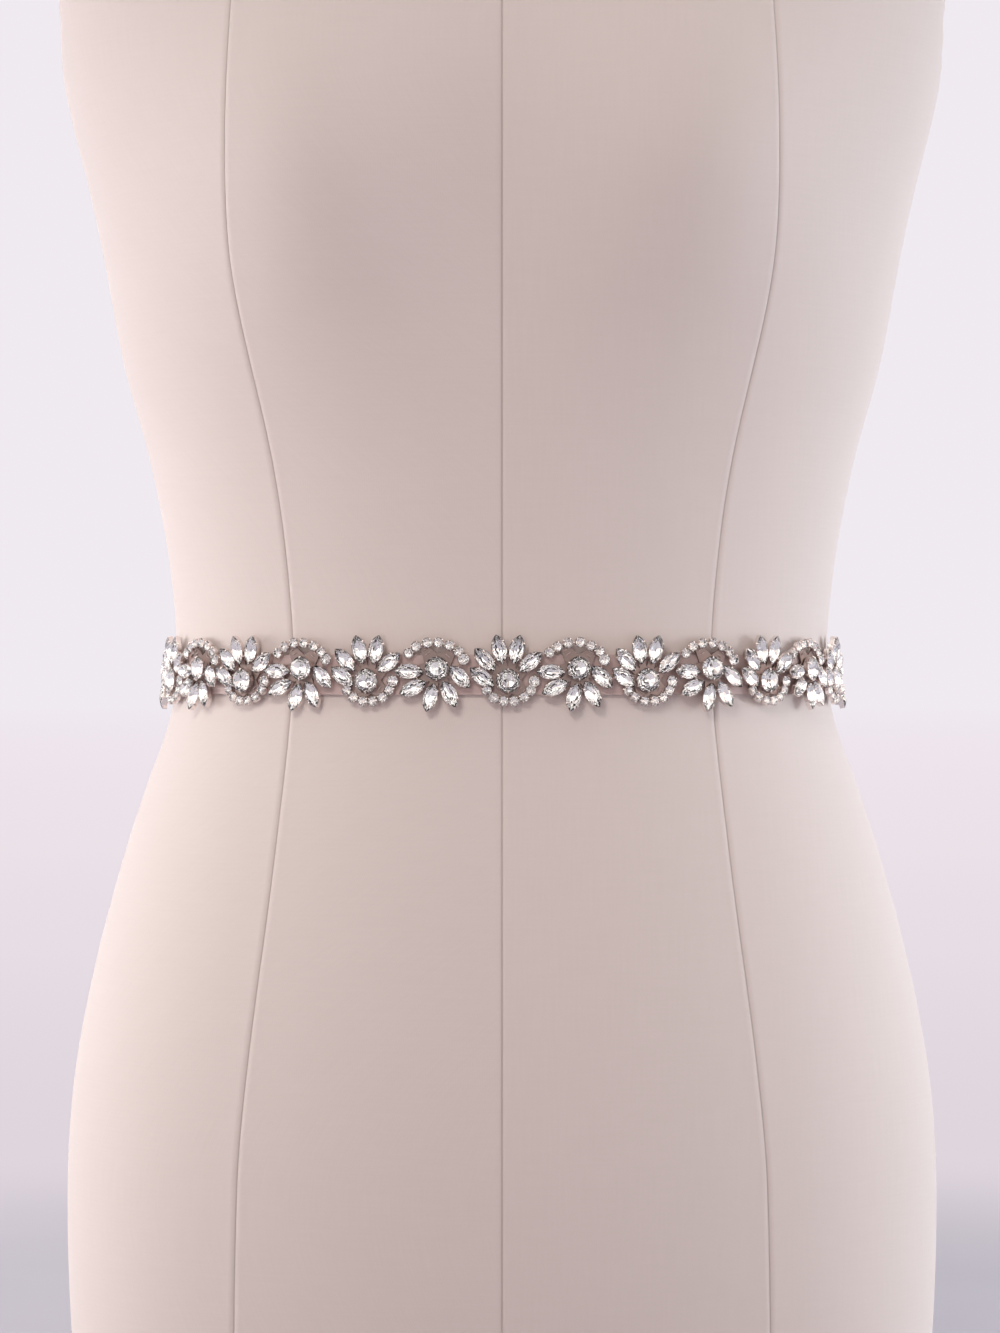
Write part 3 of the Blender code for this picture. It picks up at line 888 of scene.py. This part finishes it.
def add_stone(shape, seat, cut):
    """A foil-backed stone: a glass crown over a mirrored, faceted back."""
    crown = cut.table - cut.girdle
    girdle = stone_ring(shape, seat, cut, 1.0, cut.girdle)
    edge = stone_ring(shape, seat, cut, 1.0, cut.girdle + CROWN_EDGE * crown)
    share, rise = CROWN_MIDDLE
    middle = stone_ring(shape, seat, cut, share, cut.girdle + rise * crown, half_step=True)
    table = stone_ring(shape, seat, cut, TABLE_SHARE, cut.table)
    shape.grid((girdle, edge), True, GLASS)
    shape.facets(edge, middle, GLASS)
    shape.facets(middle, table, GLASS)
    shape.face(table, GLASS)

    back = BACK_HEIGHT * (cut.girdle - STONE_BED)
    share, drop = BACK_MIDDLE
    lower = stone_ring(shape, seat, cut, share, cut.girdle - drop * back, half_step=True)[::-1]
    share, flatten = KEEL
    keel = stone_ring(shape, seat, cut, share, cut.girdle - back, flatten=flatten)[::-1]
    shape.facets(girdle[::-1], lower[1:] + lower[:1], FOIL)
    shape.facets(lower, keel, FOIL)
    shape.face(keel, FOIL)


def add_cup(shape, seat, cut):
    """The metal cup round a stone: a wall with a rolled rim, and its floor."""
    rings = []
    for level in CUP_LEVELS:
        rise = level.rise + (cut.girdle + CUP_RIM if level.from_rim else 0.0)
        edge = [outline(cut, turn, CUP_WALL * level.walls) for turn in turns_round(CUP_SIDES)]
        rings.append(shape.ring([seat.spot(u, v, rise) for u, v in edge]))
    shape.tube(rings)


def add_claw(shape, seat, cut, turn):
    """A claw that rises beside a stone and bends over its edge."""
    crown = cut.table - cut.girdle
    after = seat.spot(*outline(cut, turn + CLAW_PROBE), 0)
    before = seat.spot(*outline(cut, turn - CLAW_PROBE), 0)
    side = (after - before).normalized()
    spots = []
    for step in CLAW_PATH:
        u, v = outline(cut, turn, step.out)
        spots.append(seat.spot(u, v, cut.girdle + step.rise + step.crown * crown))
    stations = []
    for spot, low, high, step in zip(spots, spots[:1] + spots, spots[1:] + spots[-1:], CLAW_PATH):
        other = (high - low).normalized().cross(side).normalized()
        stations.append((spot, side, other, cut.claw_radius * step.thick))
    shape.rod(stations)


def add_link(shape, start, end, out):
    """A short rod that joins two cups, behind the stones."""
    side = (end - start).normalized().cross(out).normalized()
    shape.rod([(spot, side, out, LINK_RADIUS) for spot in (start, end)])


def claw_turns(cut):
    """Claws stand at the shoulders of a navette, and evenly round the other cuts."""
    if cut is NAVETTE:
        return [CLAW_SHOULDER, math.pi - CLAW_SHOULDER, math.pi + CLAW_SHOULDER, -CLAW_SHOULDER]
    return [2 * math.pi * (k + 0.5) / cut.claws for k in range(cut.claws)]


def arc_spot(arc, share):
    """A place on the row of small stones, and the row's direction from its middle there."""
    turn = math.radians(arc.start + (arc.end - arc.start) * share)
    across = arc.across + arc.radius_across * math.cos(turn)
    up = arc.up + arc.radius_up * math.sin(turn)
    return Vector((across, up)) * MM, turn


MotifPlace = namedtuple("MotifPlace", "petals arc length height")


def motif_place(number):
    """Where a motif sits on the ribbon. The fans point up and down in turn."""
    step = number - MOTIFS // 2
    length = TRIM_SHIFT + step * MOTIF_PITCH
    if step % 2 == 0:
        return MotifPlace(UP_PETALS, UP_ARC, length, UP_CENTRE)
    return MotifPlace(DOWN_PETALS, DOWN_ARC, length, DOWN_CENTRE)


def arm_tips(motif):
    """Where the backing's arms end: under each navette, and twice under the arc."""
    tips = [Vector((petal.across, petal.up)) * MM for petal in motif.petals]
    return tips + [arc_spot(motif.arc, share)[0] for share in ARC_ARMS]


def add_backing(shape, motif):
    """The open backing: a hub under the round stone, and an arm out to each navette and to the arc. Its
    dark colour is painted shade for the gaps between the stones.
    """
    tips = sorted(arm_tips(motif), key=lambda tip: math.atan2(tip.y, tip.x))
    outline_spots = []
    for tip, after in zip(tips, tips[1:] + tips[:1]):
        side = Vector((-tip.y, tip.x)).normalized() * ARM_HALF_WIDTH
        valley = (tip.normalized() + after.normalized()).normalized() * HUB_RADIUS
        outline_spots += [tip - side, tip + side, valley]
    layers = []
    for out in (GAP, GAP + BACKING_THICK):
        spots = [on_ribbon(motif.length + s.x, motif.height + s.y, out) for s in outline_spots]
        layers.append(shape.ring(spots))
    shape.grid(layers, True, BACKING)
    for layer, out, turned in ((layers[0], GAP, True), (layers[1], GAP + BACKING_THICK, False)):
        middle = shape.ring([on_ribbon(motif.length, motif.height, out)])[0]
        for corner, after in zip(layer, layer[1:] + layer[:1]):
            pair = (after, corner) if turned else (corner, after)
            shape.face((*pair, middle), BACKING)


def build_motif(number, glass, foil, silver, shaded_backing):
    """One fan of navettes round a round stone, with its row of small stones."""
    motif = motif_place(number)
    chance = random.Random(MOTIF_SEED + number)
    stones, cups = Shape(), Shape()

    def add_set_stone(cut, across, up, lean):
        seat = Seat(cut, motif.length + across, motif.height + up, lean, chance)
        add_stone(stones, seat, cut)
        add_cup(cups, seat, cut)
        for turn in claw_turns(cut):
            add_claw(cups, seat, cut, turn)

    add_set_stone(ROUND, 0.0, 0.0, 0.0)
    for petal in motif.petals:
        add_set_stone(NAVETTE, petal.across * MM, petal.up * MM, math.radians(petal.lean))
    feet = []
    for k in range(SMALL_STONES):
        spot, turn = arc_spot(motif.arc, k / (SMALL_STONES - 1))
        add_set_stone(ACCENT if k == SMALL_STONES - 1 else SMALL, spot.x, spot.y, turn)
        feet.append(on_ribbon(motif.length + spot.x, motif.height + spot.y, LINK_RISE))
    out = surface_axes(angle_at(motif.length), motif.height)[2]
    for foot, after in zip(feet, feet[1:]):
        add_link(cups, foot, after, out)
    add_backing(cups, motif)

    name = f"motif_{number + 1:02d}"
    crystals = stones.build(f"{name}_stones", [glass, foil], smooth=False)
    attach(crystals, "root")
    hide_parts(name)
    # the second material, on the backing, carries painted shade
    settings = cups.build(f"{name}_cups", [silver, shaded_backing])
    settings.data.set_sharp_from_angle(angle=CUP_CREASE)
    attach(settings, "root")


def add_stitch(shape, middle, along, out):
    """A loop of thread that holds one arm of a backing down."""
    side = along.cross(out)
    stations = []
    for k in range(STITCH_STEPS + 1):
        turn = math.pi * k / STITCH_STEPS
        spot = middle + side * (STITCH_SPAN * math.cos(turn)) + out * (STITCH_RISE * math.sin(turn))
        radial = (side * math.cos(turn) + out * math.sin(turn)).normalized()
        stations.append((spot, radial, along, THREAD_RADIUS))
    shape.rod(stations)


def build_sewing(thread):
    """The stitches that hold the motifs to the ribbon, two over each arm."""
    shape = Shape()
    for number in range(MOTIFS):
        motif = motif_place(number)
        for tip in arm_tips(motif):
            for share in STITCH_SHARES:
                spot = tip * share
                length, height = motif.length + spot.x, motif.height + spot.y
                along, up, out = surface_axes(angle_at(length), height)
                arm = (along * tip.x + up * tip.y).normalized()
                add_stitch(shape, on_ribbon(length, height, 0.0), arm, out)
    sewing = shape.build("sewing_thread", [thread])
    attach(sewing, "root")


# Floor, light and camera


HORIZON = (0.868, 0.823, 0.874)
# Painted light: the glow that the camera sees on the far floor, darker nearer the form and matching the
# backdrop far off
Shade = namedtuple("Shade", "distance colour")
PAINTED_FLOOR_GLOW = [
    Shade(1.1, (0.735, 0.665, 0.723)),
    Shade(2.9, (0.794, 0.723, 0.783)),
    Shade(5.4, (0.831, 0.753, 0.807)),
    Shade(12.0, (0.855, 0.776, 0.839)),
    Shade(30.0, HORIZON),
]
SHADOW_REACH = (0.45, 1.0)  # metres from the form over which the lit floor and its shadows give way to the painted glow
FLOOR_HALF = 60.0
FLOOR_PAINT = ((0.56, 0.52, 0.56), (0.62, 0.58, 0.62))

# What the cloth gets from the room: soft light, dimmer in front than behind
SOFT_FRONT = (0.22, 0.21, 0.21)
SOFT_BEHIND = (0.88, 0.89, 0.95)

# What the stones and the metal mirror: bright and dark patches all round
RoomPatch = namedtuple("RoomPatch", "start colour")
ROOM_PATCHES = [
    RoomPatch(0.0, (0.42, 0.365, 0.345)),
    RoomPatch(0.18, (0.62, 0.575, 0.56)),
    RoomPatch(0.45, (0.76, 0.735, 0.72)),
    RoomPatch(0.84, (0.95, 0.94, 0.945)),
]
ROOM_SCALE = 5.2
ROOM_TINTS = ((1.0, 0.93, 0.91), (0.94, 0.98, 0.96))
ROOM_POWER = 1.6
BRIGHTEST_GAIN = 0.2
SIDE_GAIN = 1.0  # how much brighter the room is at the sides


def build_floor():
    """A pale floor that takes the form's shadow near the form; farther off the camera sees a painted
    glow, darker nearer the form, that melts into the backdrop.
    """
    material, tree, shader = new_material("pale_floor", (0.8, 0.76, 0.8), 0.9)
    place = add_node(tree, "ShaderNodeTexCoord").outputs["Object"]
    reach = add_node(tree, "ShaderNodeVectorMath", {0: place}, operation="LENGTH").outputs["Value"]
    span = {"Value": reach, "From Min": SHADOW_REACH[0], "From Max": SHADOW_REACH[1]}
    fade = add_node(tree, "ShaderNodeMapRange", span, interpolation_type="SMOOTHSTEP")
    path = add_node(tree, "ShaderNodeLightPath")
    # painted glow for camera rays beyond the shadow reach; there the base goes black and the emission
    # alone gives the colour
    painted_glow = math_node(tree, "MULTIPLY", fade.outputs["Result"], path.outputs["Is Camera Ray"])
    mottle = add_node(tree, "ShaderNodeTexNoise", {"Vector": place, "Scale": 6.0, "Detail": 4.0})
    paint = mix_colours(tree, mottle.outputs["Fac"], *FLOOR_PAINT)
    farthest = PAINTED_FLOOR_GLOW[-1].distance
    share = math_node(tree, "DIVIDE", reach, farthest)
    stops = [(shade.distance / farthest, shade.colour) for shade in PAINTED_FLOOR_GLOW]
    finish = {
        "Base Color": mix_colours(tree, painted_glow, paint, (0.0, 0.0, 0.0)),
        "Specular IOR Level": 0.0,
        "Emission Color": colour_ramp(tree, share, stops),
        "Emission Strength": painted_glow,
    }
    wire(tree, shader, finish)
    corners = ((-1, -1), (1, -1), (1, 1), (-1, 1))
    shape = Shape()
    shape.face(shape.ring([Vector((x, y, 0.0)) * FLOOR_HALF for x, y in corners]))
    shape.build("floor", [material], smooth=False)


def studio_patches(tree, direction):
    """The colour and the strength of the patches that the stones mirror."""
    scatter = {"Vector": direction, "Scale": ROOM_SCALE, "Randomness": 1.0}
    cells = add_node(tree, "ShaderNodeTexVoronoi", scatter)
    split = add_node(tree, "ShaderNodeSeparateColor", {0: cells.outputs["Color"]})
    patch = colour_ramp(tree, split.outputs[0], ROOM_PATCHES, "CONSTANT")
    tint = mix_colours(tree, split.outputs[1], *ROOM_TINTS)
    tinted = add_node(tree, "ShaderNodeVectorMath", {0: patch, 1: tint}, operation="MULTIPLY")
    brightest = math_node(tree, "GREATER_THAN", split.outputs[0], ROOM_PATCHES[-1].start)
    strength = math_node(tree, "MULTIPLY_ADD", brightest, BRIGHTEST_GAIN, ROOM_POWER)
    sides = add_node(tree, "ShaderNodeSeparateXYZ", {0: direction})
    aside = math_node(tree, "ABSOLUTE", sides.outputs["X"])
    brighter = math_node(tree, "MULTIPLY_ADD", aside, SIDE_GAIN, 1.0)
    return tinted.outputs[0], math_node(tree, "MULTIPLY", strength, brighter)


def build_world():
    """A pale backdrop for the eye, soft light for the cloth, and patches for stones and metal."""
    world = bpy.data.worlds.new("studio")
    bpy.context.scene.world = world
    world.use_nodes = True
    tree = world.node_tree
    backdrop = tree.nodes["Background"]
    wire(tree, backdrop, {"Color": (*HORIZON, 1.0)})
    direction = add_node(tree, "ShaderNodeTexCoord").outputs["Generated"]
    split = add_node(tree, "ShaderNodeSeparateXYZ", {0: direction})
    behind = math_node(tree, "MULTIPLY_ADD", split.outputs["Y"], 0.5, 0.5)
    soft_colour = mix_colours(tree, behind, SOFT_FRONT, SOFT_BEHIND)
    soft = add_node(tree, "ShaderNodeBackground", {"Color": soft_colour})
    colour, strength = studio_patches(tree, direction)
    crisp = add_node(tree, "ShaderNodeBackground", {"Color": colour, "Strength": strength})
    path = add_node(tree, "ShaderNodeLightPath")
    glossy, through = path.outputs["Is Glossy Ray"], path.outputs["Is Transmission Ray"]
    mirrored = math_node(tree, "MAXIMUM", glossy, through)
    room = {0: mirrored, 1: soft.outputs[0], 2: crisp.outputs[0]}
    lit = add_node(tree, "ShaderNodeMixShader", room)
    eye = {0: path.outputs["Is Camera Ray"], 1: lit.outputs[0], 2: backdrop.outputs[0]}
    mix = add_node(tree, "ShaderNodeMixShader", eye)
    wire(tree, tree.nodes["World Output"], {"Surface": mix.outputs[0]})


Light = namedtuple("Light", "name place aim width height power colour")
LIGHTS = [
    Light("window_left", (-1.5, 0.38, 0.16), (0, 0, 0.24), 1.0, 0.7, 20, (0.95, 0.98, 1.0)),
    Light("window_right", (1.5, 0.20, 0.22), (0, 0, 0.24), 1.0, 0.7, 18, (0.82, 0.93, 1.0)),
    Light("front_fill", (-0.6, -1.7, 1.5), (0, 0, 0.25), 0.7, 0.5, 14, (1.0, 0.97, 0.94)),
    Light("top_soft", (0.2, -0.3, 2.4), (0, 0, 0.3), 1.2, 1.2, 8, (1.0, 0.98, 0.98)),
]

# Soft spots of light round the waist, which fade above and below
GLOW_RADIUS = 0.25
Glow = namedtuple("Glow", "name place aim spread power colour")
GLOWS = [
    Glow("waist_glow_front", (-0.9, -2.0, 0.5), (-0.03, -0.1, 0.27), 18, 24, (1.0, 0.95, 0.91)),
    Glow("waist_glow_left", (-1.4, -0.1, 0.26), (0.0, 0.0, 0.26), 20, 18, (1.0, 0.98, 0.98)),
    Glow("waist_glow_right", (1.4, -0.1, 0.26), (0.0, 0.0, 0.26), 20, 14, (0.90, 0.96, 1.0)),
]


def aim(obj, target):
    toward = Vector(target) - obj.location
    obj.rotation_euler = toward.to_track_quat("-Z", "Y").to_euler()


def place_lamp(light, data):
    """The lamps light the cloth alone: the stones mirror the room."""
    data.energy = light.power
    data.color = light.colour
    lamp = bpy.data.objects.new(light.name, data)
    bpy.context.scene.collection.objects.link(lamp)
    lamp.location = light.place
    aim(lamp, light.aim)
    lamp.visible_camera = False
    lamp.visible_glossy = False
    lamp.visible_transmission = False


def build_lights():
    for light in LIGHTS:
        data = bpy.data.lights.new(light.name, "AREA")
        data.shape = "RECTANGLE"
        data.size, data.size_y = light.width, light.height
        place_lamp(light, data)
    for glow in GLOWS:
        data = bpy.data.lights.new(glow.name, "SPOT")
        data.spot_size = math.radians(glow.spread)
        data.spot_blend = 1.0
        data.shadow_soft_size = GLOW_RADIUS
        place_lamp(glow, data)


FRAME_HEIGHT_PX = 1333
PX_PER_METRE = 2530.0  # at the form's middle
CAMERA_AWAY = 1.7
CAMERA_ASIDE = -0.8 * MM
CAMERA_HEIGHT = WAIST_HEIGHT + 3.1 * MM


def build_camera():
    data = bpy.data.cameras.new("camera")
    camera = bpy.data.objects.new("camera", data)
    bpy.context.scene.collection.objects.link(camera)
    camera.location = (CAMERA_ASIDE, -CAMERA_AWAY, CAMERA_HEIGHT)
    aim(camera, (CAMERA_ASIDE, 0.0, CAMERA_HEIGHT))
    data.lens = data.sensor_width * CAMERA_AWAY * PX_PER_METRE / FRAME_HEIGHT_PX
    bpy.context.scene.camera = camera


def main():
    weave = weave_group()
    linen = linen_material(weave)
    satin = satin_material(weave)
    glass = glass_material()
    polish = polish_group()
    foil = metal_material(STONE_FOIL, polish)
    silver = metal_material(CUP_SILVER, polish)
    shaded_backing = metal_material(BACKING_PAINTED_SHADE, polish)
    build_camera()
    build_cover(linen)
    build_band(satin)
    build_knot(satin)
    for tail in TAILS:
        build_tail(tail, satin)
    for number in range(MOTIFS):
        build_motif(number, glass, foil, silver, shaded_backing)
    build_sewing(satin)
    build_floor()
    build_world()
    build_lights()
    bpy.context.scene.view_settings.view_transform = "Standard"


main()
